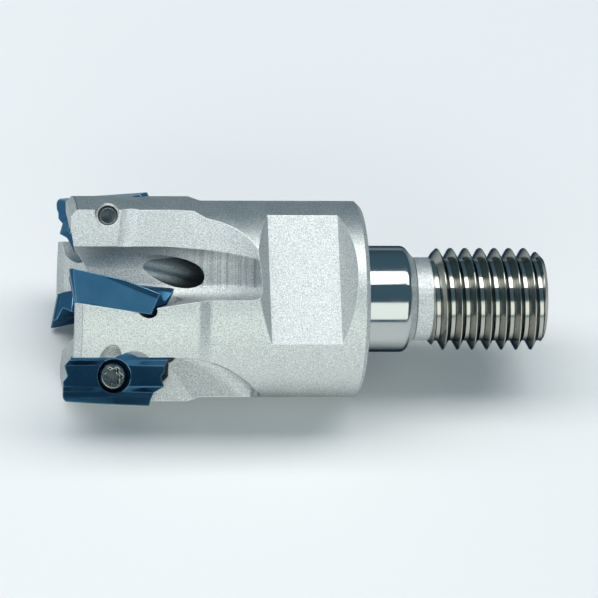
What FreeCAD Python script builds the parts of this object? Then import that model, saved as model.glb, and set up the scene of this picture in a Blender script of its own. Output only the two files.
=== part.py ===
# Screw-in shoulder milling cutter with four clamped cutting inserts, in millimetres.
#
# The row frame stands at the middle of the ring face that seats on the tool
# holder: X runs along the tool axis towards the threaded shank, Z is up, and the
# tool lies on its side as it rests on a bench. An angle round the axis is counted
# from -Y towards +Z, the way the cutter turns in use.
import FreeCAD, Part
import Sketcher
import math
import os

doc = FreeCAD.newDocument("shoulder_milling_cutter")
Vector = FreeCAD.Vector

# Driving dimensions
sheet = doc.addObject("Spreadsheet::Sheet", "sizes")
DIMENSIONS = (
    ("cutting_diameter", 25.0, "circle that the insert corners sweep"),
    ("body_length", 35.0, "cutting plane to the seating ring"),
    ("head_diameter", 24.0, "lands of the cutting head"),
    ("head_length", 15.0, "cutting plane to the end of the head"),
    ("head_step", 1.4, "length of the step from head to body"),
    ("front_setback", 0.72, "steel front face behind the cutting plane"),
    ("front_bevel", 0.68, "broken edge of the front face"),
    ("body_diameter", 23.0, "cylindrical body"),
    ("rear_chamfer", 0.5, "edge of the seating ring"),
    ("pilot_diameter", 12.5, "centring pilot"),
    ("pilot_length", 5.4, "ring to the pilot's rounded shoulder"),
    ("pilot_round", 0.8, "rounded shoulder of the pilot"),
    ("neck_start", 6.6, "ring to the foot of the pilot's shoulder"),
    ("neck_diameter", 9.8, "undercut in front of the thread"),
    ("thread_start", 8.4, "ring to the first thread"),
    ("shank_length", 22.0, "ring to the end of the thread"),
    ("thread_diameter", 12.0, "metric thread"),
    ("thread_pitch", 1.75, "metric thread"),
    ("thread_phase", 12.38, "a thread groove at the flats, from the ring"),
    ("bore_diameter", 5.0, "coolant bore"),
    ("bore_depth", 28.6, "coolant bore from the shank end"),
    ("flat_width", 17.0, "across the wrench flats"),
    ("flat_start", 23.6, "cutting plane to the flats"),
    ("flat_length", 8.2, "wrench flats along the axis"),
    ("flat_wall_angle", 30.0, "slope of the flats' end walls"),
    ("flat_angle", 65.4, "direction of the first flat"),
    ("tooth_angle", 66.31, "corner of the first tooth"),
    ("second_spacing", 93.0, "first tooth to the second"),
    ("third_spacing", 87.0, "second tooth to the third"),
    ("fourth_spacing", 90.0, "third tooth to the fourth"),
    ("face_lag", 16.08, "tooth face behind the corner, degrees"),
    ("axial_tilt", 9.0, "insert seat leans forward"),
    ("radial_tilt", 12.78, "insert seat against the radius at the corner"),
    ("seat_centre", 5.75, "cutting plane to the screw axis at the seat"),
    ("corner_height", 3.85, "cutting corner above the seat"),
    ("centre_height", 3.45, "insert edges above the seat at mid length"),
    ("tail_height", 2.36, "rear end of the insert edges above the seat"),
    ("corner_offset", 3.11, "screw axis to the insert's corner, outwards"),
    ("corner_radius", 0.8, "insert corner"),
    ("heel_offset", 3.58, "screw axis to the insert's blunt corner, outwards"),
    ("heel_reach", 4.8, "screw axis to the insert's blunt corner, lengthways"),
    ("step_reach", 6.3, "screw axis to the tip of the end step"),
    ("step_offset", 1.15, "tip of the end step off the centre line"),
    ("notch_reach", 5.95, "screw axis to the notch in the end edge"),
    ("wiper_offset", 0.6, "inner end of the wiper edge"),
    ("insert_width_over", 12.0, "width of the face's sections, past the insert"),
    ("side_relief", 6.2, "clearance angle of the long flanks"),
    ("end_relief", 20.0, "clearance angle of the end flanks"),
    ("land_foot", 2.45, "foot of the edge's land above the seat at mid length"),
    ("land_slope", 8.5, "fall of that line towards the rear, degrees"),
    ("land_relief", 13.0, "clearance angle of the long flanks under the land"),
    ("rake_drop", 0.45, "depth of the chip groove below the edge"),
    ("rake_width", 1.5, "width of the chip groove"),
    ("plateau_height", 3.05, "insert face round the screw"),
    ("insert_bore", 2.9, "screw hole of the insert"),
    ("insert_sink", 4.0, "countersink of the insert"),
    ("sink_floor", 1.5, "foot of the countersink above the seat"),
    ("sink_top", 2.5, "top of the countersink's cone above the seat"),
    ("screw_diameter", 2.3, "clamping screw at the middle of its thread"),
    ("screw_head", 3.2, "head of the clamping screw"),
    ("screw_head_height", 2.55, "top of the screw head above the seat"),
    ("screw_reach", 3.5, "screw below the seat"),
    ("socket_size", 2.3, "six-lobed socket across its lobes"),
    ("socket_depth", 1.0, "depth of the socket"),
    ("screw_clearance", 0.03, "round the screw in the tooth"),
    ("exit_depth", 4.0, "seat to the mouth of the screw hole"),
    ("exit_diameter", 2.8, "mouth of the screw hole at the tooth's back"),
    ("access_diameter", 5.0, "driver's way over the screw"),
    ("access_height", 8.0, "middle of that way's round end above the seat"),
    ("pocket_clearance", 0.03, "insert to the pocket's walls"),
    ("pocket_end", 6.75, "screw axis to the pocket's end wall"),
    ("pocket_heel", 3.9, "screw axis to the slanted end wall at the seat"),
    ("pocket_heel_offset", 2.8, "where the slanted end wall is measured"),
    ("end_slant", 36.0, "slanted end wall against the tool's radius"),
    ("relief_diameter", 2.2, "inner corner of the pocket"),
    ("groove_diameter", 1.84, "groove at the foot of the end wall"),
    ("groove_rise", 0.45, "groove's axis above the seat"),
    ("groove_inset", 0.61, "groove's axis in front of the end wall"),
    ("wall_depth", 6.74, "back wall of the tooth from the axis"),
    ("wall_run", 12.7, "cutting plane to the curve of the back wall"),
    ("wall_radius", 14.0, "curve of the back wall"),
    ("wall_foot", 3.0, "lower side of the back wall's cut"),
    ("floor_depth", 4.4, "chip floor from the axis"),
    ("floor_run", 10.0, "cutting plane to the curve of the chip floor"),
    ("floor_radius", 16.0, "curve of the chip floor"),
    ("floor_width", 6.3, "width of the chip floor"),
    ("floor_fillet", 2.0, "chip floor to the tooth face"),
    ("floor_upper_fillet", 2.6, "chip floor to the back wall"),
    ("face_level", 0.2, "tooth face below the axis plane"),
    ("flute_length", 22.4, "cutting plane to the end of the flute"),
    ("ramp_angle", 10.5, "relief behind the insert, degrees"),
    ("ramp_turn", 36.6, "relief's upper edge against the radius"),
    ("ramp_start", 15.2, "cutting plane to the relief's upper edge"),
    ("ramp_depth", 11.0, "the same point of that edge from the axis"),
    ("ramp_length", 5.5, "relief down its slope"),
    ("ramp_reach", 6.0, "relief inwards along its edge"),
    ("coolant_diameter", 3.4, "coolant outlets"),
    ("coolant_start", 28.5, "cutting plane to where the outlets leave the bore"),
    ("coolant_outlet", 13.5, "cutting plane to the middle of the outlet"),
    ("coolant_height", 3.0, "middle of the outlet above the tooth face"),
    ("rim_width", 1.12, "flat rim of the front face"),
    ("rim_fall", 0.5, "fall of the front face from the rim to the hollow"),
    ("dish_diameter", 15.6, "hollow in the front face"),
    ("dish_angle", 33.0, "slope of the hollow's wall"),
    ("dish_floor", 7.0, "flat bottom of the hollow"),
)
for row, (name, value, meaning) in enumerate(DIMENSIONS, start=1):
    sheet.set("A%d" % row, name)
    sheet.set("B%d" % row, str(value))
    sheet.set("C%d" % row, meaning)
    sheet.setAlias("B%d" % row, name)
doc.recompute()


def number(expression):
    """Value of an expression over the sheet."""
    return float(sheet.evalExpression(expression.replace("sizes.", "")))


def at(x, y, z, turn):
    """Expression of a placement: a place and a rotation."""
    return "placement(vector(%s; %s; %s); %s)" % (x, y, z, turn)


def spin(axis, angle):
    """Expression of a rotation about X, Y or Z."""
    vector = {"X": "1; 0; 0", "Y": "0; 1; 0", "Z": "0; 0; 1"}[axis]
    return "rotation(vector(%s); %s)" % (vector, angle)


def outline(sketch, corners):
    """Closed outline through the corners; an arc is (radius, centre x, centre y) between two of them."""
    places = [corner for corner in corners if corner[0] != "arc"]
    values = {place: Vector(number(place[0]), number(place[1]), 0) for place in places}
    ends = []
    index = 0
    while index < len(corners):
        start = corners[index]
        step = 1
        arc = None
        if corners[(index + 1) % len(corners)][0] == "arc":
            arc = corners[(index + 1) % len(corners)]
            step = 2
        stop = corners[(index + step) % len(corners)]
        if arc is None:
            edge = sketch.addGeometry(Part.LineSegment(values[start], values[stop]), False)
            ends.append((edge, 1, 2, start))
        else:
            centre = Vector(number(arc[2]), number(arc[3]), 0)
            circle = Part.Circle(centre, Vector(0, 0, 1), number(arc[1]))
            begin = circle.parameter(values[start])
            finish = circle.parameter(values[stop])
            forward = (finish - begin) % (2 * math.pi) < math.pi
            if forward:
                edge = sketch.addGeometry(Part.ArcOfCircle(circle, begin, finish), False)
                ends.append((edge, 1, 2, start))
            else:
                edge = sketch.addGeometry(Part.ArcOfCircle(circle, finish, begin), False)
                ends.append((edge, 2, 1, start))
            rule = sketch.addConstraint(Sketcher.Constraint("Radius", edge, number(arc[1])))
            sketch.setExpression("Constraints[%d]" % rule, arc[1])
        index += step
    for place in range(len(ends)):
        edge, begin, finish, start = ends[place]
        following = ends[(place + 1) % len(ends)]
        sketch.addConstraint(Sketcher.Constraint("Coincident", edge, finish, following[0], following[1]))
        for kind, expression in (("DistanceX", start[0]), ("DistanceY", start[1])):
            rule = sketch.addConstraint(Sketcher.Constraint(kind, -1, 1, edge, begin, number(expression)))
            sketch.setExpression("Constraints[%d]" % rule, expression)


def free_sketch(name, corners, placement):
    """Sketch that stands by itself, placed by an expression."""
    sketch = doc.addObject("Sketcher::SketchObject", name)
    sketch.setExpression("Placement", placement)
    outline(sketch, corners)
    doc.recompute()
    return sketch


def body_sketch(body, name, role, corner_loops):
    """Sketch on one of the body's own origin planes."""
    sketch = body.newObject("Sketcher::SketchObject", name)
    plane = [part for part in body.Origin.OriginFeatures if part.Role == role][0]
    sketch.AttachmentSupport = [(plane, "")]
    sketch.MapMode = "FlatFace"
    for corners in corner_loops:
        outline(sketch, corners)
    doc.recompute()
    return sketch


def shifted(placement, x, y, z):
    """The same placement after a shift in its own axes."""
    return "%s * placement(vector(%s; %s; %s); rotation(vector(0; 0; 1); 0))" % (placement, x, y, z)


def solid(kind, name, placement=None, **sizes):
    """Primitive whose sizes and place are expressions."""
    item = doc.addObject(kind, name)
    for size, expression in sizes.items():
        item.setExpression(size, expression)
    if placement:
        item.setExpression("Placement", placement)
    return item


def gather(kind, name, shapes):
    """Boolean of several shapes."""
    item = doc.addObject(kind, name)
    item.Shapes = shapes
    doc.recompute()
    return item


def cut(name, base, tool):
    """Base less tool."""
    item = doc.addObject("Part::Cut", name)
    item.Base = base
    item.Tool = tool
    doc.recompute()
    return item


def ring_edges(shape, radius, place):
    """Names of the circular edges of that radius round X at that place."""
    names = []
    for position, edge in enumerate(shape.Edges, start=1):
        curve = edge.Curve
        if not isinstance(curve, Part.Circle):
            continue
        if abs(curve.Radius - radius) < 1e-4 and abs(curve.Center.x - place) < 1e-4:
            names.append("Edge%d" % position)
    return names


# Turned blank: front face with its hollow, head, body, pilot, neck, thread blank and coolant bore
blank = doc.addObject("PartDesign::Body", "TurnedBlank")
FRONT = "(sizes.front_setback - sizes.body_length)"
HOLLOW = "((sizes.dish_diameter - sizes.dish_floor) / 2 * tan(sizes.dish_angle))"
HEAD_END = "(sizes.head_length - sizes.body_length)"
THREAD_CHAMFER = "((sizes.thread_diameter - sizes.neck_diameter) / 2)"
BORE_END = "(sizes.shank_length - sizes.bore_depth)"
turned = body_sketch(blank, "TurnedProfile", "XZ_Plane", [[
    (FRONT + " + sizes.rim_fall + " + HOLLOW, "0"),
    (FRONT + " + sizes.rim_fall + " + HOLLOW, "sizes.dish_floor / 2"),
    (FRONT + " + sizes.rim_fall", "sizes.dish_diameter / 2"),
    (FRONT, "sizes.head_diameter / 2 - sizes.front_bevel - sizes.rim_width"),
    (FRONT, "sizes.head_diameter / 2 - sizes.front_bevel"),
    (FRONT + " + sizes.front_bevel", "sizes.head_diameter / 2"),
    (HEAD_END, "sizes.head_diameter / 2"),
    (HEAD_END + " + sizes.head_step", "sizes.body_diameter / 2"),
    ("-sizes.rear_chamfer", "sizes.body_diameter / 2"),
    ("0", "sizes.body_diameter / 2 - sizes.rear_chamfer"),
    ("0", "sizes.pilot_diameter / 2"),
    ("sizes.pilot_length", "sizes.pilot_diameter / 2"),
    ("sizes.neck_start", "sizes.neck_diameter / 2"),
    ("sizes.thread_start", "sizes.neck_diameter / 2"),
    ("sizes.thread_start + " + THREAD_CHAMFER, "sizes.thread_diameter / 2"),
    ("sizes.shank_length - " + THREAD_CHAMFER, "sizes.thread_diameter / 2"),
    ("sizes.shank_length", "sizes.neck_diameter / 2"),
    ("sizes.shank_length", "sizes.bore_diameter / 2"),
    (BORE_END, "sizes.bore_diameter / 2"),
    (BORE_END + " - sizes.bore_diameter / 4", "0"),
]])
revolution = blank.newObject("PartDesign::Revolution", "Turning")
revolution.Profile = turned
revolution.ReferenceAxis = (turned, ["H_Axis"])
revolution.Angle = 360
doc.recompute()

shoulder_rings = ring_edges(revolution.Shape, number("head_diameter / 2"), number(HEAD_END))
shoulder_rings += ring_edges(revolution.Shape, number("body_diameter / 2"), number(HEAD_END + " + head_step"))
shoulder_rings += ring_edges(revolution.Shape, number("pilot_diameter / 2"), number("pilot_length"))
rounding = blank.newObject("PartDesign::Fillet", "Rounding")
rounding.Base = (revolution, shoulder_rings)
rounding.setExpression("Radius", "sizes.pilot_round")
doc.recompute()

# Wrench flats: two parallel recesses whose end walls lean outwards
FLAT_START = "(sizes.flat_start - sizes.body_length)"
FLAT_RISE = "(sizes.head_diameter / 2 - sizes.flat_width / 2)"
FLAT_LEAN = "(" + FLAT_RISE + " * tan(sizes.flat_wall_angle))"
flat_loops = []
for side in ("", "-"):
    flat_loops.append([
        (FLAT_START, side + "sizes.flat_width / 2"),
        (FLAT_START + " + sizes.flat_length", side + "sizes.flat_width / 2"),
        (FLAT_START + " + sizes.flat_length + " + FLAT_LEAN, side + "sizes.head_diameter / 2"),
        (FLAT_START + " - " + FLAT_LEAN, side + "sizes.head_diameter / 2"),
    ])
flat_profile = body_sketch(blank, "FlatProfile", "XZ_Plane", flat_loops)
flats = blank.newObject("PartDesign::Pocket", "WrenchFlats")
flats.Profile = flat_profile
flats.Midplane = True
flats.setExpression("Length", "2 * sizes.head_diameter")
doc.recompute()

# Thread: a groove with sixty degree flanks wound right-handed along the shank
THREAD_DEPTH = "(0.6134 * sizes.thread_pitch)"
ROOT = "(sizes.thread_diameter / 2 - " + THREAD_DEPTH + ")"
MOUTH = "(sizes.thread_diameter / 2 + 0.1 * sizes.thread_pitch)"
GROOVE = "(sizes.thread_phase + 6 * sizes.thread_pitch)"
ROOT_HALF = "(sizes.thread_pitch / 8)"
MOUTH_HALF = "(" + ROOT_HALF + " + (" + THREAD_DEPTH + " + 0.1 * sizes.thread_pitch) * tan(30))"
groove_profile = body_sketch(blank, "ThreadGroove", "XZ_Plane", [[
    (GROOVE + " - " + ROOT_HALF, ROOT),
    (GROOVE + " + " + ROOT_HALF, ROOT),
    (GROOVE + " + " + MOUTH_HALF, MOUTH),
    (GROOVE + " - " + MOUTH_HALF, MOUTH),
]])
thread = blank.newObject("PartDesign::SubtractiveHelix", "Thread")
thread.Profile = groove_profile
thread.ReferenceAxis = (groove_profile, ["H_Axis"])
thread.Mode = 0
thread.setExpression("Pitch", "sizes.thread_pitch")
thread.setExpression("Height", GROOVE + " - sizes.thread_start + sizes.thread_pitch / 2")
thread.LeftHanded = False
thread.Reversed = True
doc.recompute()
blank.Tip = thread
blank.setExpression("Placement", at("0", "0", "0", spin("X", "90 - sizes.flat_angle")))
doc.recompute()

# Chip space in front of a tooth, in the frame of the tooth face: X from the cutting
# plane backwards, Z outwards along the face, Y the way the tooth cuts
SPACE_TOP = "(0.7 * sizes.cutting_diameter)"


def space_profile(name, depth, run, radius, near_side):
    """Side outline of a cut that runs level and then curves out of the head."""
    end_rise = "%s + %s - sqrt(%s^2 - (sizes.flute_length - %s)^2)" % (depth, radius, radius, run)
    corners = [
        ("-0.2 * sizes.body_length", depth),
        (run, depth),
        ("arc", radius, run, depth + " + " + radius),
        ("sizes.flute_length", end_rise),
        ("sizes.flute_length", SPACE_TOP),
        ("-0.2 * sizes.body_length", SPACE_TOP),
    ]
    return free_sketch(name, corners, at("0", near_side, "0", spin("X", "90")))


def side_block(name, sketch, width):
    """Outline drawn out sideways, the way the tooth cuts."""
    block = doc.addObject("Part::Extrusion", name)
    block.Base = sketch
    block.DirMode = "Custom"
    block.Dir = Vector(0, 1, 0)
    block.Solid = True
    block.setExpression("LengthFwd", width)
    doc.recompute()
    return block


floor_sketch = space_profile("FloorProfile", "sizes.floor_depth", "sizes.floor_run", "sizes.floor_radius",
                             "-sizes.face_level")
floor_block = side_block("FloorBlock", floor_sketch, "sizes.floor_width")


def floor_edges(shape, side):
    """Numbers of the edges along the chip floor on one of its sides."""
    top = number("floor_depth + floor_radius - sqrt(floor_radius^2 - (flute_length - floor_run)^2)")
    found = []
    for position, edge in enumerate(shape.Edges, start=1):
        box = edge.BoundBox
        on_side = abs(box.YMin - side) < 1e-6 and abs(box.YMax - side) < 1e-6
        if on_side and box.ZMax < top + 1e-6 and box.XLength > 1:
            found.append(position)
    return found


floor_cut = doc.addObject("Part::Fillet", "ChipFloor")
floor_cut.Base = floor_block
lower_side = number("-face_level")
upper_side = number("floor_width - face_level")
roundings = [(position, number("floor_fillet"), number("floor_fillet"))
             for position in floor_edges(floor_block.Shape, lower_side)]
roundings += [(position, number("floor_upper_fillet"), number("floor_upper_fillet"))
              for position in floor_edges(floor_block.Shape, upper_side)]
floor_cut.Edges = roundings
doc.recompute()

# Relief behind the insert: a plane that falls towards the pocket
RAMP_THICKNESS = "(2 * sizes.corner_height)"
ramp = solid(
    "Part::Box", "RearRelief",
    shifted(at("sizes.ramp_start", "-sizes.face_level", "sizes.ramp_depth",
               spin("Y", "sizes.ramp_turn") + " * " + spin("Z", "sizes.ramp_angle")),
            "-sizes.ramp_length", "0", "-sizes.ramp_reach"),
    Length="sizes.ramp_length", Width=RAMP_THICKNESS, Height="1.5 * sizes.ramp_reach")

# Coolant outlet: bored from the middle of the tool up to the chip floor
OUTLET_DEPTH = ("(sizes.floor_depth + sizes.floor_radius"
                " - sqrt(sizes.floor_radius^2 - (sizes.coolant_outlet - sizes.floor_run)^2))")
OUTLET_RADIUS = "sqrt(" + OUTLET_DEPTH + "^2 + sizes.coolant_height^2)"
OUTLET_RUN = "(sizes.coolant_start - sizes.coolant_outlet)"
coolant = solid(
    "Part::Cylinder", "CoolantOutlet",
    at("sizes.coolant_start", "0", "0",
       spin("X", "-atan(sizes.coolant_height / " + OUTLET_DEPTH + ")") + " * "
       + spin("Y", "-atan(" + OUTLET_RUN + " / " + OUTLET_RADIUS + ")")),
    Radius="sizes.coolant_diameter / 2",
    Height="1.4 * sqrt(" + OUTLET_RUN + "^2 + " + OUTLET_RADIUS + "^2)")
doc.recompute()
face_cuts = gather("Part::MultiFuse", "FaceCuts", [floor_cut, ramp, coolant])

# Back of the tooth: the wall that faces the next chip space
wall_sketch = space_profile("BackWallProfile", "sizes.wall_depth", "sizes.wall_run", "sizes.wall_radius",
                            "sizes.wall_foot")
back_cut = side_block("BackWall", wall_sketch, "sizes.head_diameter / 2 - sizes.wall_foot")

# Insert pocket, in the frame of the seat: X forwards along the seat, Y outwards,
# Z square to the seat, with the origin on the screw's axis
POCKET_HEIGHT = "(sizes.corner_height + sizes.corner_radius)"
POCKET_MOUTH = "(2 * sizes.corner_offset)"
POCKET_FRONT = "(1.5 * sizes.seat_centre)"


def pocket_outline(name, level):
    """Outline of the pocket at a level above the seat."""
    inner = "-(sizes.heel_offset + sizes.pocket_clearance"
    inner += " - (sizes.corner_height - %s) * tan(sizes.side_relief))" % level
    heel = "(sizes.pocket_heel + %s * tan(sizes.end_relief))" % level
    slant_foot = "(sizes.pocket_heel_offset - (sizes.pocket_end - %s) / tan(sizes.end_slant))" % heel
    slant_mouth = "((%s - sizes.pocket_heel_offset) * tan(sizes.end_slant) - %s)" % (POCKET_MOUTH, heel)
    corners = [
        (POCKET_FRONT, inner),
        ("-sizes.pocket_end", inner),
        ("-sizes.pocket_end", slant_foot),
        (slant_mouth, POCKET_MOUTH),
        (POCKET_FRONT, POCKET_MOUTH),
    ]
    return free_sketch(name, corners, at("0", "0", level, spin("Z", "0")))


def loft(name, sections):
    """Straight-sided solid between two outlines."""
    item = doc.addObject("Part::Loft", name)
    item.Sections = sections
    item.Solid = True
    item.Ruled = True
    doc.recompute()
    return item


pocket = loft("Pocket", [pocket_outline("PocketSeat", "0"), pocket_outline("PocketTop", POCKET_HEIGHT)])
relief_hole = solid(
    "Part::Cylinder", "CornerRelief",
    at("0.1 * sizes.relief_diameter - sizes.pocket_end",
       "0.4 * sizes.relief_diameter - sizes.heel_offset", "-0.1 * sizes.relief_diameter", spin("Z", "0")),
    Radius="sizes.relief_diameter / 2", Height=POCKET_HEIGHT)
foot_groove = solid(
    "Part::Cylinder", "FootGroove",
    shifted(at("sizes.groove_inset / cos(sizes.end_slant) - sizes.pocket_heel", "sizes.pocket_heel_offset",
               "sizes.groove_rise", spin("Z", "-sizes.end_slant") + " * " + spin("X", "-90")),
            "0", "0", "-1.4 * sizes.pocket_heel_offset"),
    Radius="sizes.groove_diameter / 2", Height="3 * sizes.pocket_heel_offset")
screw_hole = solid(
    "Part::Cylinder", "ScrewHole", at("0", "0", "-2 * sizes.exit_depth", spin("Z", "0")),
    Radius="sizes.screw_diameter / 2 + sizes.screw_clearance",
    Height="2 * sizes.exit_depth + sizes.groove_rise")
hole_mouth = solid(
    "Part::Cylinder", "HoleMouth", at("0", "0", "-2 * sizes.exit_depth", spin("Z", "0")),
    Radius="sizes.exit_diameter / 2", Height="sizes.exit_depth")
access = solid(
    "Part::Cylinder", "DriverWay", at("0", "0", "sizes.access_height", spin("Z", "0")),
    Radius="sizes.access_diameter / 2", Height="sizes.head_diameter / 2")
access_end = solid(
    "Part::Sphere", "DriverWayEnd", at("0", "0", "sizes.access_height", spin("Z", "0")),
    Radius="sizes.access_diameter / 2")
doc.recompute()
seat_cuts = gather("Part::MultiFuse", "SeatCuts",
                   [pocket, relief_hole, foot_groove, screw_hole, hole_mouth, access, access_end])

# The four teeth stand at uneven angles, so that the cut doesn't ring
TOOTH_ANGLES = [
    "sizes.tooth_angle",
    "(sizes.tooth_angle + sizes.second_spacing)",
    "(sizes.tooth_angle + sizes.second_spacing + sizes.third_spacing)",
    "(sizes.tooth_angle + sizes.second_spacing + sizes.third_spacing + sizes.fourth_spacing)",
]
CORNER_REACH = ("((sizes.seat_centre + sizes.corner_height * sin(sizes.axial_tilt))"
                " / cos(sizes.axial_tilt))")
SEAT_LEVEL = ("(sizes.cutting_diameter / 2 * sin(sizes.radial_tilt)"
              " - (" + CORNER_REACH + " - sizes.corner_radius) * sin(sizes.axial_tilt)"
              " - sizes.corner_height * cos(sizes.axial_tilt))")
SEAT_OUT = "(sizes.cutting_diameter / 2 * cos(sizes.radial_tilt) - sizes.corner_offset)"


def face_place(angle):
    """Frame of a tooth face in the row frame."""
    return at("-sizes.body_length", "0", "0", spin("X", "90 + sizes.face_lag - " + angle))


def back_place(angle):
    """Frame of the wall behind a tooth in the row frame."""
    return at("-sizes.body_length", "0", "0", spin("X", "180 + sizes.face_lag - " + angle))


def seat_place(angle):
    """Frame of an insert seat in the row frame."""
    turn = spin("X", "90 + sizes.radial_tilt - " + angle)
    lean = spin("Z", "-sizes.axial_tilt") + " * rotation(vector(0; 1; 1); 180)"
    place = "%s * vector(sizes.seat_centre - sizes.body_length; %s; %s)" % (turn, SEAT_LEVEL, SEAT_OUT)
    return "placement(%s; %s * %s)" % (place, turn, lean)


def copy(name, source, placement):
    """Another copy of a shape, placed by an expression."""
    item = doc.addObject("App::Link", name)
    item.LinkedObject = source
    item.setExpression("Placement", placement)
    return item


tooth_cuts = []
for tooth, angle in enumerate(TOOTH_ANGLES, start=1):
    tooth_cuts.append(copy("FaceCut%d" % tooth, face_cuts, face_place(angle)))
    tooth_cuts.append(copy("BackCut%d" % tooth, back_cut, back_place(angle)))
    tooth_cuts.append(copy("SeatCut%d" % tooth, seat_cuts, seat_place(angle)))
doc.recompute()
all_cuts = gather("Part::MultiFuse", "ToothCuts", tooth_cuts)
cutter_body = cut("CutterBody", blank, all_cuts)
cutter_body.Label = "cutter_body"

# Cutting insert: a two-edged carbide blade with a twisted face, the same turned half round
TOP_LEVEL = "(sizes.corner_height + sizes.corner_radius)"


def insert_outline(name, level):
    """Outline of the insert at a level above the seat; the flanks lean in towards the seat."""
    drop = "(sizes.corner_height - %s)" % level
    end = drop + " * tan(sizes.end_relief)"
    side = drop + " * tan(sizes.side_relief)"
    half = [
        ("(" + CORNER_REACH + " - " + end + ")", "(sizes.corner_offset - " + side + ")"),
        ("(" + end + " - sizes.heel_reach)", "(sizes.heel_offset - " + side + ")"),
        ("(" + end + " - sizes.step_reach)", "sizes.step_offset"),
        ("(" + end + " - sizes.notch_reach)", "0"),
        ("(" + end + " - " + CORNER_REACH + ")", "(-sizes.wiper_offset)"),
    ]
    corners = list(half)
    for corner in half:
        corners.append(tuple("-" + value if value != "0" else "0" for value in corner))
    return free_sketch(name, corners, at("0", "0", level, spin("Z", "0")))


def corner_edges(shape):
    """Numbers of the flank edges under the two cutting corners."""
    found = []
    for position, edge in enumerate(shape.Edges, start=1):
        middle = edge.BoundBox.Center
        upright = edge.BoundBox.ZLength > number("corner_height")
        outward = middle.x * middle.y > 0 and abs(middle.y) > number("corner_offset") / 2
        if upright and outward:
            found.append(position)
    return found


prism = loft("InsertPrism", [insert_outline("InsertSeat", "0"), insert_outline("InsertTop", TOP_LEVEL)])
flanks = doc.addObject("Part::Fillet", "InsertFlanks")
flanks.Base = prism
flanks.Edges = [(position, number("corner_radius"), number("corner_radius"))
                for position in corner_edges(prism.Shape)]
doc.recompute()

# Face of the insert: the edge falls slowly to mid length and faster behind it
BLADE_END = "(sizes.seat_centre + sizes.corner_radius)"
FRONT_RISE = ("((sizes.corner_height - sizes.centre_height)"
              " / (" + CORNER_REACH + " - sizes.corner_radius))")
REAR_FALL = "((sizes.centre_height - sizes.tail_height) / sizes.heel_reach)"
FRONT_EDGE = "(sizes.centre_height + " + FRONT_RISE + " * " + BLADE_END + ")"
REAR_EDGE = "(sizes.centre_height - " + REAR_FALL + " * " + BLADE_END + ")"


def half_section(edge_height, drop):
    """Section of the face from the plateau out to the rim, on the outer side."""
    edge = "(sizes.corner_offset + sizes.heel_offset) / 2"
    return [
        ("(" + edge + " - 1.4 * sizes.rake_width)", "sizes.plateau_height"),
        ("(" + edge + " - sizes.rake_width)", edge_height + " - " + drop),
        ("(" + edge + " - 0.6 * sizes.rake_width)", edge_height + " - 0.8 * " + drop),
        ("(" + edge + ")", edge_height),
        ("(sizes.insert_width_over / 2)", edge_height + " + " + drop),
        ("(sizes.insert_width_over / 2)", "-sizes.corner_radius"),
    ]


def rake_section(name, reach, outer, inner):
    """Cross-section under the insert's face, square to its length; each side is a height and a drop."""
    corners = [("-" + across, height) for across, height in half_section(*inner)]
    corners += reversed(half_section(*outer))
    return free_sketch(name, corners, at(reach, "0", "0", "rotation(vector(1; 1; 1); 120)"))


FULL_DROP = "sizes.rake_drop"
CORNER_DROP = "sizes.rake_drop / 2"
face = loft("InsertFace", [
    rake_section("RakeFront", BLADE_END, (FRONT_EDGE, CORNER_DROP), (REAR_EDGE, FULL_DROP)),
    rake_section("RakeMiddle", "0", ("sizes.centre_height", FULL_DROP), ("sizes.centre_height", FULL_DROP)),
    rake_section("RakeRear", "-" + BLADE_END, (REAR_EDGE, FULL_DROP), (FRONT_EDGE, CORNER_DROP)),
])
blade = gather("Part::MultiCommon", "InsertBlade", [flanks, face])

# Under the land of each edge the long flank leans in faster
LAND_OFFSET = ("((sizes.corner_offset + sizes.heel_offset) / 2"
               " - (sizes.corner_height - sizes.land_foot) * tan(sizes.side_relief))")
FLANK_TURN = ("atan((sizes.heel_offset - sizes.corner_offset)"
              " / (sizes.heel_reach + " + CORNER_REACH + "))")
FLANK_REACH = "(2 * sizes.heel_reach)"
flank_reliefs = []
for side, half_turn in (("Outer", "0"), ("Inner", "180")):
    flank_reliefs.append(solid(
        "Part::Box", side + "FlankRelief",
        shifted("placement(vector(0; 0; 0); %s) * %s" % (
            spin("Z", half_turn),
            at("0", LAND_OFFSET, "sizes.land_foot",
               spin("Z", "-" + FLANK_TURN) + " * " + spin("Y", "-sizes.land_slope") + " * "
               + spin("X", "-sizes.land_relief"))),
                "-" + FLANK_REACH, "0", "-" + FLANK_REACH),
        Length="2 * " + FLANK_REACH, Width="sizes.corner_offset", Height="2 * " + FLANK_REACH))
doc.recompute()

# Screw hole of the insert, with its countersink
insert_hole = solid("Part::Cylinder", "InsertHole", at("0", "0", "-sizes.corner_height", spin("Z", "0")),
                    Radius="sizes.insert_bore / 2", Height="3 * sizes.corner_height")
sink_cone = solid("Part::Cone", "InsertSinkCone", at("0", "0", "sizes.sink_floor", spin("Z", "0")),
                  Radius1="sizes.insert_bore / 2", Radius2="sizes.insert_sink / 2",
                  Height="sizes.sink_top - sizes.sink_floor")
sink_well = solid("Part::Cylinder", "InsertSinkWell", at("0", "0", "sizes.sink_top", spin("Z", "0")),
                  Radius="sizes.insert_sink / 2", Height="2 * sizes.corner_height")
doc.recompute()
insert_cuts = gather("Part::MultiFuse", "InsertCuts", [insert_hole, sink_cone, sink_well] + flank_reliefs)
insert_shape = cut("CuttingInsert", blade, insert_cuts)

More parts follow.
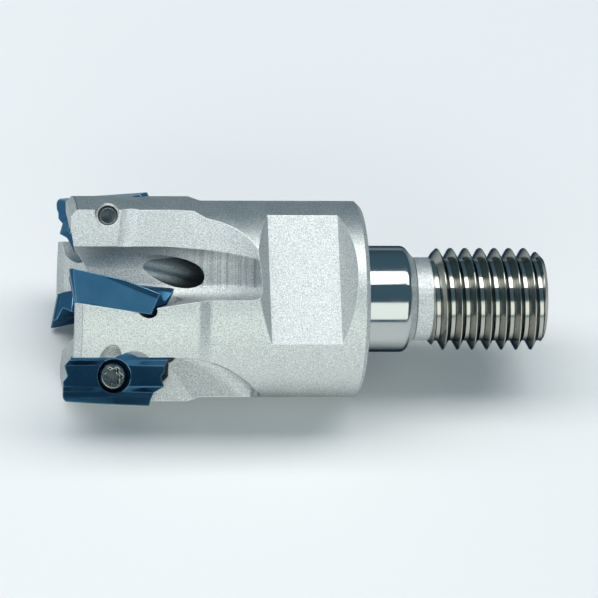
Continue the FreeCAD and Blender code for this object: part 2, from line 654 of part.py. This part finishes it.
# Clamping screw: countersunk head with a six-lobed socket, turned in one piece
screw_body = doc.addObject("PartDesign::Body", "ClampingScrew")
SINK_SLOPE = "((sizes.insert_sink - sizes.insert_bore) / 2 / (sizes.sink_top - sizes.sink_floor))"
HEAD_RISE = ("(sizes.sink_floor + (sizes.screw_head - sizes.insert_bore) / 2 / " + SINK_SLOPE + ")")
NECK_RISE = ("(sizes.sink_floor - (sizes.insert_bore - sizes.screw_diameter) / 2 / " + SINK_SLOPE + ")")
SCREW_BREAK = "(sizes.screw_diameter / 10)"
screw_profile = body_sketch(screw_body, "ScrewProfile", "XZ_Plane", [[
    ("0", "-sizes.screw_reach"),
    ("sizes.screw_diameter / 2 - " + SCREW_BREAK, "-sizes.screw_reach"),
    ("sizes.screw_diameter / 2", SCREW_BREAK + " - sizes.screw_reach"),
    ("sizes.screw_diameter / 2", NECK_RISE),
    ("sizes.screw_head / 2", HEAD_RISE),
    ("sizes.screw_head / 2", "sizes.screw_head_height - " + SCREW_BREAK),
    ("sizes.screw_head / 2 - " + SCREW_BREAK, "sizes.screw_head_height"),
    ("0", "sizes.screw_head_height"),
]])
screw_turning = screw_body.newObject("PartDesign::Revolution", "ScrewTurning")
screw_turning.Profile = screw_profile
screw_turning.ReferenceAxis = (screw_profile, ["V_Axis"])
screw_turning.Angle = 360
doc.recompute()
LOBE_RADIUS = "(0.13 * sizes.socket_size)"
LOBES = 6
lobes = [solid("Part::Cylinder", "SocketCore",
               at("0", "0", "sizes.screw_head_height - sizes.socket_depth", spin("Z", "0")),
               Radius="0.37 * sizes.socket_size", Height="2 * sizes.socket_depth")]
for lobe in range(LOBES):
    turn = spin("Z", "%d * 360 / %d" % (lobe, LOBES))
    lobes.append(solid("Part::Cylinder", "SocketLobe%d" % (lobe + 1),
                       shifted(at("0", "0", "sizes.screw_head_height - sizes.socket_depth", turn),
                               "sizes.socket_size / 2 - " + LOBE_RADIUS, "0", "0"),
                       Radius=LOBE_RADIUS, Height="2 * sizes.socket_depth"))
doc.recompute()
socket = gather("Part::MultiFuse", "ScrewSocket", lobes)
screw_shape = cut("ScrewShape", screw_body, socket)

# Four inserts and four screws, each on its seat
sub_parts = [cutter_body]
for tooth, angle in enumerate(TOOTH_ANGLES, start=1):
    for label, source in (("cutting_insert", insert_shape), ("insert_screw", screw_shape)):
        piece = copy("%s_%d" % (label.title().replace("_", ""), tooth), source, seat_place(angle))
        piece.Label = "%s_%d" % (label, tooth)
        sub_parts.append(piece)
doc.recompute()

# Every object has to be sound before anything is written
for item in doc.Objects:
    if "Invalid" in item.State or "Error" in item.State:
        raise RuntimeError("%s failed" % item.Name)
for piece in sub_parts:
    shape = Part.getShape(piece)
    if shape.isNull() or not shape.isValid():
        raise RuntimeError("%s has no sound shape" % piece.Label)
os.makedirs("parts", exist_ok=True)
for piece in sub_parts:
    Part.getShape(piece).exportStep("parts/%s.step" % piece.Label)
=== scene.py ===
# Screw-in shoulder milling cutter with four clamped cutting inserts.
import bpy
import math
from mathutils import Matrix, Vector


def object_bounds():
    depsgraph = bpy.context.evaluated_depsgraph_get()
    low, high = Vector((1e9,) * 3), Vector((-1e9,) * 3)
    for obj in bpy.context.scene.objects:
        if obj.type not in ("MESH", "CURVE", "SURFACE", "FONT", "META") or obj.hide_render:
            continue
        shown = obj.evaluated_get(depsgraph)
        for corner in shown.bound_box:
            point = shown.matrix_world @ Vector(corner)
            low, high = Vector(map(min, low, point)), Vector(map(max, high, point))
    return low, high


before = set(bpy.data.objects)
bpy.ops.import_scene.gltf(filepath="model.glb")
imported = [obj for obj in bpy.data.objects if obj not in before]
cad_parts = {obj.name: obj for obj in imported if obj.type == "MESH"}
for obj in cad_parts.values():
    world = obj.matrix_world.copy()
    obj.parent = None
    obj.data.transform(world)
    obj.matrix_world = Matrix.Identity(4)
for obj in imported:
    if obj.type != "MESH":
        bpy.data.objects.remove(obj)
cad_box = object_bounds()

# Cutter body: one bar of tool steel, turned and milled, then blasted all over
# except the ground pilot and the turned thread. The chip floors keep the fine
# cross lines of the cutter that milled them.


class Finish:
    """A metal finish: its material, and short calls for the shader nodes that make it."""

    def __init__(self, name, metallic, edge_tint):
        self.material = bpy.data.materials.new(name)
        self.material.use_nodes = True
        self.tree = self.material.node_tree
        self.shader = self.tree.nodes["Principled BSDF"]
        self.feed(metallic, self.shader.inputs["Metallic"])
        self.feed(edge_tint, self.shader.inputs["Specular Tint"])
        self.place = self.node("ShaderNodeTexCoord").outputs["Object"]
        self.x, self.y, self.z = self.node("ShaderNodeSeparateXYZ", Vector=self.place).outputs

    def feed(self, value, socket):
        """Link another node's output to a socket, or set it to a number or a colour."""
        if isinstance(value, bpy.types.NodeSocket):
            self.tree.links.new(value, socket)
        else:
            socket.default_value = (*value, 1) if isinstance(value, tuple) else value

    def node(self, kind, **settings):
        """Shader node; a name with a capital is an input, any other name a property."""
        node = self.tree.nodes.new(kind)
        for name, value in settings.items():
            if name[0].isupper():
                self.feed(value, node.inputs[name.replace("_", " ")])
            else:
                setattr(node, name, value)
        return node

    def math(self, operation, *values):
        """Output of a Math node."""
        node = self.node("ShaderNodeMath", operation=operation)
        for position, value in enumerate(values):
            self.feed(value, node.inputs[position])
        return node.outputs[0]

    def hypotenuse(self, first, second):
        """Distance from two sides at a right angle."""
        squares = [self.math("MULTIPLY", side, side) for side in (first, second)]
        return self.math("SQRT", self.math("ADD", *squares))

    def mix(self, share, first, second, blend="MIX"):
        """Colour between the first, where the share is 0, and the second, where it is 1."""
        node = self.node("ShaderNodeMix", data_type="RGBA", blend_type=blend)
        for position, value in ((0, share), (6, first), (7, second)):
            self.feed(value, node.inputs[position])
        return node.outputs[2]

    def remap(self, value, start, end, low, high):
        """Value that goes from low to high while the other goes from start to end."""
        return self.node("ShaderNodeMapRange", Value=value, From_Min=start, From_Max=end,
                         To_Min=low, To_Max=high).outputs[0]

    def noise(self, scale, detail=2.0, roughness=0.5):
        """Noise in the solid, in features per metre."""
        return self.node("ShaderNodeTexNoise", Vector=self.place, Scale=scale, Detail=detail,
                         Roughness=roughness).outputs["Fac"]

    def rings(self, scale, detail=2.0, roughness=0.5):
        """Noise that changes along the tool's axis only, as turned and cross lines do."""
        return self.node("ShaderNodeTexNoise", noise_dimensions="1D", W=self.x, Scale=scale,
                         Detail=detail, Roughness=roughness).outputs["Fac"]

    def along(self, stops):
        """Value along the tool's axis, from (millimetres from the ring face, value) pairs."""
        first, last = stops[0][0], stops[-1][0]
        ramp = self.node("ShaderNodeValToRGB")
        points = ramp.color_ramp.elements
        while len(points) < len(stops):
            points.new(0.5)
        for point, (distance, value) in zip(points, stops):
            point.position = (distance - first) / (last - first)
            point.color = (value, value, value, 1)
        run = self.math("SUBTRACT", self.x, first / 1000)
        self.feed(self.math("MULTIPLY", run, 1000 / (last - first)), ramp.inputs[0])
        return ramp.outputs[0]

    def rounded(self, radius, samples):
        """Normal with the edges softened."""
        return self.node("ShaderNodeBevel", Radius=radius, samples=samples).outputs[0]

    def near_edges(self, rounded, start, end, strongest):
        """Share that grows towards the edges, where the softened normal turns away."""
        turn = self.node("ShaderNodeVectorMath", operation="DOT_PRODUCT")
        self.feed(self.node("ShaderNodeNewGeometry").outputs["Normal"], turn.inputs[0])
        self.feed(rounded, turn.inputs[1])
        return self.remap(turn.outputs["Value"], start, end, 0, strongest)

    def bump(self, height, depth, normal):
        """Normal with a relief added, so many metres deep."""
        return self.node("ShaderNodeBump", Strength=1.0, Distance=depth, Height=height,
                         Normal=normal).outputs[0]

    def put_on(self, names, colour, roughness, normal):
        """Finish the shader and give the material to the named nodes."""
        self.feed(colour, self.shader.inputs["Base Color"])
        self.feed(roughness, self.shader.inputs["Roughness"])
        self.feed(normal, self.shader.inputs["Normal"])
        for name in names:
            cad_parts[name].data.materials.clear()
            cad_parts[name].data.materials.append(self.material)


steel = Finish("tool_steel", metallic=1, edge_tint=(0.0, 0.05, 0.1))

# The head, body and neck are blasted; the pilot, up to 5.5 mm behind the ring face, is
# ground, and the thread, from 8.5 mm on, is turned
blasted = steel.along([(-1, 1), (-0.05, 1), (0.05, 0), (5.5, 0), (5.8, 1), (8.3, 1), (8.5, 0),
                       (9, 0)])
steel_roughness = steel.along([(-1, 0.48), (-0.05, 0.48), (0.05, 0.1), (5.5, 0.12), (5.8, 0.45),
                               (8.3, 0.45), (8.5, 0.17), (9, 0.17)])
thread = steel.along([(0, 0), (8.2, 0), (8.5, 1), (22, 1)])

# The turned skin of the head and body stands a little outside the milled faces. A fine
# line runs round where the front edge is broken, and a dark line of painted shade stands
# for a narrow groove at the foot of the neck
head_skin = 0.01193
body_skin = 0.01143
from_axis = steel.hypotenuse(steel.y, steel.z)
skin = steel.math("GREATER_THAN", from_axis, steel.along(
    [(-35, head_skin), (-19.9, head_skin), (-18.9, body_skin), (0, body_skin)]))
edge_line = steel.math("MULTIPLY", skin, steel.along(
    [(-34, 0), (-33.64, 0), (-33.56, 1), (-33.48, 1), (-33.4, 0), (-33, 0)]))
# Painted shade: a dark line stands for a narrow groove at the foot of the neck
neck_groove_shade = steel.along([(6, 0), (6.42, 0), (6.5, 1), (6.56, 1), (6.64, 0), (7, 0)])

# Chip floors: each runs out on an arc behind the tooth, and up on a fillet to the back
# wall; the cutter's marks show where it rises. The coolant outlets lie inside the circle
# of the floors; their drilled walls are shinier, and painted shade darkens their insides
floor_angles = (50.23, 143.23, 230.23, 320.23)
floor_depth = 0.0044
floor_radius = 0.016
floor_arc_start = -0.025
floor_middle = 0.003
floor_half_width = 0.0032
fillet_radius = 0.0026
fillet_start = 0.0035
floor_tolerance = 0.00007
outlet_circle = 0.007
outlet_margin = 0.00005
floor_run = steel.math("MAXIMUM", steel.math("ADD", steel.x, -floor_arc_start), 0)
milled = 0
drilled_and_shaded = steel.math("LESS_THAN", from_axis, outlet_circle)
for floor_angle in floor_angles:
    sine = math.sin(math.radians(floor_angle))
    cosine = math.cos(math.radians(floor_angle))
    across = steel.math("ADD", steel.math("MULTIPLY", steel.y, sine),
                        steel.math("MULTIPLY", steel.z, cosine))
    below_centre = steel.math("ADD", steel.math("MULTIPLY", steel.y, cosine), steel.math(
        "ADD", steel.math("MULTIPLY", steel.z, -sine), floor_depth + floor_radius))
    from_centre = steel.hypotenuse(floor_run, below_centre)
    from_fillet = steel.hypotenuse(
        steel.math("SUBTRACT", from_centre, floor_radius - fillet_radius),
        steel.math("MAXIMUM", steel.math("SUBTRACT", across, fillet_start), 0))
    on_floor = steel.math(
        "MULTIPLY", steel.math("COMPARE", from_fillet, fillet_radius, floor_tolerance),
        steel.math("COMPARE", across, floor_middle, floor_half_width))
    milled = steel.math("ADD", on_floor, milled)
    drilled_and_shaded = steel.math("MULTIPLY", drilled_and_shaded, steel.math(
        "GREATER_THAN", from_centre, floor_radius + outlet_margin))
milled = steel.math("MULTIPLY", milled, steel.along([(-20.8, 0), (-19.2, 1), (-12, 1)]))
drilled_and_shaded = steel.math("MULTIPLY", drilled_and_shaded, steel.along(
    [(-35, 0), (-31.1, 0), (-31, 1), (-18, 1), (-17.9, 0), (-17, 0)]))

# Colour: the grain of the blasting, about 0.15 mm, over soft blotches
grey_steel = (0.72, 0.74, 0.73)
pale_steel = (0.79, 0.81, 0.80)
skin_tint = (0.97, 0.98, 0.96)
edge_line_tint = (0.6, 0.63, 0.63)
ground_steel = (0.50, 0.515, 0.51)
turned_steel = (0.50, 0.49, 0.45)
# Painted shade colour for the narrow groove at the foot of the neck
neck_groove_shade_steel = (0.25, 0.28, 0.29)
# Painted shade for the insides of the coolant outlets
bore_shade_tint = (0.42, 0.47, 0.5)
# Painted highlight colour for the outer edges of the blasted faces
edge_highlight_steel = (0.95, 0.97, 0.97)
grain = steel.noise(scale=7500, detail=3, roughness=0.6)
blotches = steel.noise(scale=450, detail=3)
blasted_colour = steel.mix(
    1, steel.mix(blotches, grey_steel, pale_steel),
    steel.remap(grain, start=0.3, end=0.7, low=0.56, high=1.28), "MULTIPLY")
skin_colour = steel.mix(
    1, blasted_colour, steel.mix(edge_line, skin_tint, edge_line_tint), "MULTIPLY")
steel_colour = steel.mix(blasted, steel.mix(thread, ground_steel, turned_steel),
                         steel.mix(skin, blasted_colour, skin_colour))
steel_colour = steel.mix(neck_groove_shade, steel_colour, neck_groove_shade_steel)
# Painted shade: the insides of the coolant outlets are darkened
bore_shade_colour = steel.mix(1, steel_colour, bore_shade_tint, "MULTIPLY")
steel_colour = steel.mix(drilled_and_shaded, steel_colour, bore_shade_colour)

# The outer edges of the blasted faces get a painted highlight, and the milling marks stay dark
steel_normal = steel.rounded(radius=0.00012, samples=6)
painted_edge_highlight = steel.near_edges(steel_normal, start=0.99, end=0.9, strongest=0.7)
# Painted highlight: the outer edges of the blasted faces are made brighter
steel_colour = steel.mix(steel.math("MULTIPLY", painted_edge_highlight, blasted), steel_colour, edge_highlight_steel)
cross_lines = steel.rings(scale=1700, detail=6, roughness=0.85)
milled_colour = steel.mix(
    1, steel_colour, steel.remap(cross_lines, start=0.38, end=0.54, low=0.6, high=1.02), "MULTIPLY")
steel_colour = steel.mix(milled, steel_colour, milled_colour)

# The milled faces are duller than the skin, and the marks and drilled outlets shinier
milled_face = steel.math("MULTIPLY", steel.math("SUBTRACT", 1, skin), blasted)
for place, rougher in ((steel.math("SUBTRACT", blotches, 0.5), 0.12), (milled_face, 0.12),
                       (milled, -0.2), (drilled_and_shaded, -0.28)):
    steel_roughness = steel.math("ADD", steel_roughness, steel.math("MULTIPLY", place, rougher))

# Relief: the blasting's grain, the milling marks, and faint rings from the turning
grain_depth = 0.00004
mark_depth = 0.00002
ring_depth = 0.0000012
for height, depth in ((steel.math("MULTIPLY", grain, blasted), grain_depth),
                      (steel.math("MULTIPLY", cross_lines, milled), mark_depth),
                      (steel.rings(scale=7000), ring_depth)):
    steel_normal = steel.bump(height, depth, steel_normal)
steel.put_on(["cutter_body"], steel_colour, steel_roughness, steel_normal)

# Cutting inserts: sintered and ground carbide with a thin blue-grey coating that
# shimmers from navy to steel blue. Along the edges it is lighter: partly worn coating, partly
# painted highlight.
# Each is seated in its pocket and held by one screw.
coating = Finish("insert_coating", metallic=0.85, edge_tint=(0.3, 0.45, 0.6))
navy = (0.015, 0.062, 0.13)
steel_blue = (0.04, 0.12, 0.205)
# Lighter blue for the edges: partly worn coating, partly painted highlight
worn_highlight_blue = (0.16, 0.33, 0.46)
coating_colour = coating.mix(coating.noise(scale=260), navy, steel_blue)
coating_normal = coating.rounded(radius=0.00022, samples=8)
edge_wear_and_highlight = coating.near_edges(coating_normal, start=0.995, end=0.93, strongest=0.8)
speckle = coating.noise(scale=9000)
speckle_depth = 0.000002
coating.put_on(
    ["cutting_insert_%d" % tooth for tooth in range(1, 5)],
    coating.mix(edge_wear_and_highlight, coating_colour, worn_highlight_blue),
    coating.math("ADD", coating.math("MULTIPLY", speckle, 0.16), 0.16),
    coating.bump(speckle, speckle_depth, coating_normal))

# Clamping screws: dark burnished steel, countersunk into the inserts. The rim and the
# socket's edges are brighter, partly rubbed by the driver and partly painted highlight.
screw_steel = Finish("screw_steel", metallic=1, edge_tint=(0.4, 0.45, 0.5))
burnt_black = (0.07, 0.09, 0.09)
burnished_grey = (0.42, 0.44, 0.43)
# Bright steel for the rim and socket edges: partly rubbed wear, partly painted highlight
rim_highlight_steel = (0.8, 0.8, 0.77)
burnish = screw_steel.noise(scale=1500, detail=4)
burnish_depth = 0.00001
screw_colour = screw_steel.mix(burnish, burnt_black, burnished_grey)
screw_normal = screw_steel.rounded(radius=0.00018, samples=8)
rubbed_and_highlight = screw_steel.near_edges(screw_normal, start=0.995, end=0.88, strongest=0.95)
screw_steel.put_on(
    ["insert_screw_%d" % tooth for tooth in range(1, 5)],
    screw_steel.mix(rubbed_and_highlight, screw_colour, rim_highlight_steel),
    screw_steel.math("ADD", screw_steel.math("MULTIPLY", burnish, 0.2), 0.18),
    screw_steel.bump(burnish, burnish_depth, screw_normal))

# Floor: a pale matt sheet just below the lowest edge of the tool. It isn't part
# of the object.
floor_gap = 0.00002
bpy.ops.mesh.primitive_plane_add(size=6, location=(0, 0, cad_box[0][2] - floor_gap))
floor = bpy.context.object
floor.name = "floor"
floor_paint = bpy.data.materials.new("floor_paint")
floor_paint.use_nodes = True
floor_shader = floor_paint.node_tree.nodes["Principled BSDF"]
floor_shader.inputs["Base Color"].default_value = (0.86, 0.86, 0.86, 1)
floor_shader.inputs["Roughness"].default_value = 0.9
floor.data.materials.append(floor_paint)

# Light and camera: a dim room with one long soft box overhead and one in front,
# and a long lens 50 degrees above the bench.
world = bpy.data.worlds.new("room")
bpy.context.scene.world = world
world.use_nodes = True
room_light = world.node_tree.nodes["Background"]
room_light.inputs["Color"].default_value = (0.36, 0.74, 1, 1)
room_light.inputs["Strength"].default_value = 0.2


def soft_box(name, elevation, width, height, power, colour):
    """Lamp turned to the tool's axis, 0.4 m away and 0.2 m to the side of its cutting end."""
    distance = 0.4
    tilt = math.radians(elevation)
    lamp_data = bpy.data.lights.new(name, "AREA")
    lamp_data.shape = "RECTANGLE"
    lamp_data.size = width
    lamp_data.size_y = height
    lamp_data.energy = power
    lamp_data.color = colour
    lamp = bpy.data.objects.new(name, lamp_data)
    bpy.context.scene.collection.objects.link(lamp)
    lamp.location = (-0.2, -math.cos(tilt) * distance, math.sin(tilt) * distance)
    lamp.rotation_euler = (math.radians(90 - elevation), 0, 0)


soft_box("overhead", elevation=98, width=1.1, height=0.18, power=2.6, colour=(1, 1, 0.99))
soft_box("front", elevation=23.5, width=0.9, height=0.268, power=1.08, colour=(0.98, 1, 0.92))

camera_data = bpy.data.cameras.new("camera")
camera_data.lens = 310.75
camera_data.sensor_width = 36
camera_data.clip_start = 0.01
camera = bpy.data.objects.new("camera", camera_data)
bpy.context.scene.collection.objects.link(camera)
camera.location = (-0.09306, -0.38346, 0.46070)
camera.rotation_mode = "ZYX"
camera.rotation_euler = (math.radians(90 - 50.23), math.radians(-8.188), 0)
bpy.context.scene.camera = camera
bpy.context.scene.view_settings.view_transform = "Standard"
